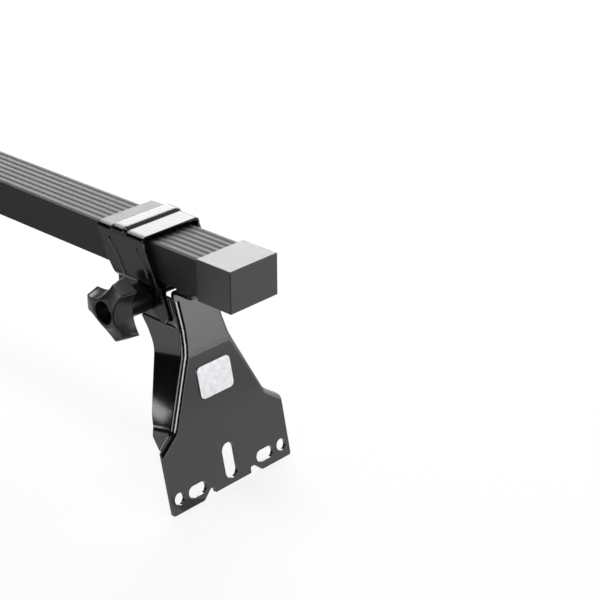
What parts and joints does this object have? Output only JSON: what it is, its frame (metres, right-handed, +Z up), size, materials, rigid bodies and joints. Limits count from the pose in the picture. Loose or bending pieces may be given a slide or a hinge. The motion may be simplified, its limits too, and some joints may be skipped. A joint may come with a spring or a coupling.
{
  "type": "roof rack crossbar",
  "caption": "Roof rack crossbar: a ribbed rectangular bar on two pressed-steel feet, each held by a bent strap and a three-lobed clamp knob.",
  "frame": {"origin": "on the ground, midway between the two feet and under the bar's centre line", "axes": "+X along the bar towards the right foot, +Z up, the clamp knobs on the -Y side"},
  "size_m": [1.2, 0.0925, 0.1428],
  "materials": {
    "tube_steel": "zinc coated",
    "cover_plastic": "satin",
    "cap_plastic": "fine grained satin",
    "bracket_paint": "gloss black powder coat",
    "strap_paint": "gloss black powder coat",
    "seat_rubber": "matte",
    "fastener_steel": "black zinc plated",
    "knob_plastic": "matte",
    "insert_brass": "turned",
    "badge_face": "bare satin"
  },
  "bodies": {
    "crossbar": {"bar_tube": "tube_steel", "bar_cover": "cover_plastic", "end_cap_left": "cap_plastic", "end_cap_right": "cap_plastic"},
    "foot_left": {"foot_bracket_left": "bracket_paint", "clamp_strap_left": "strap_paint", "seat_pad_left": "seat_rubber", "clamp_bolt_left": "fastener_steel", "bolt_washer_left": "fastener_steel", "badge_plate_left": "badge_face"},
    "clamp_travel_left": {"knob_washer_left": "fastener_steel"},
    "knob_left": {"clamp_knob_left": "knob_plastic", "knob_insert_left": "insert_brass"},
    "foot_right": {"foot_bracket_right": "bracket_paint", "clamp_strap_right": "strap_paint", "seat_pad_right": "seat_rubber", "clamp_bolt_right": "fastener_steel", "bolt_washer_right": "fastener_steel", "badge_plate_right": "badge_face"},
    "clamp_travel_right": {"knob_washer_right": "fastener_steel"},
    "knob_right": {"clamp_knob_right": "knob_plastic", "knob_insert_right": "insert_brass"}
  },
  "joints": [
    {"name": "foot_slide_left", "type": "slide", "parent": "crossbar", "child": "foot_left", "axis": [-1, 0, 0], "range_m": [-0.48, 0.008]},
    {"name": "clamp_release_left", "type": "slide", "parent": "foot_left", "child": "clamp_travel_left", "axis": [0, -1, 0], "range_m": [0, 0.0046]},
    {"name": "knob_turn_left", "type": "hinge", "parent": "clamp_travel_left", "child": "knob_left", "pos_m": [-0.534, 0, 0.1071], "axis": [0, -1, 0], "range_deg": [0, 1620]},
    {"name": "foot_slide_right", "type": "slide", "parent": "crossbar", "child": "foot_right", "axis": [1, 0, 0], "range_m": [-0.48, 0.008]},
    {"name": "clamp_release_right", "type": "slide", "parent": "foot_right", "child": "clamp_travel_right", "axis": [0, -1, 0], "range_m": [0, 0.0046]},
    {"name": "knob_turn_right", "type": "hinge", "parent": "clamp_travel_right", "child": "knob_right", "pos_m": [0.534, 0, 0.1071], "axis": [0, -1, 0], "range_deg": [0, 1620]}
  ],
  "couplings": [
    {"joint": "clamp_release_left", "follows": "knob_turn_left", "m_per_rad": 0.00015915},
    {"joint": "clamp_release_right", "follows": "knob_turn_right", "m_per_rad": 0.00015915}
  ]
}
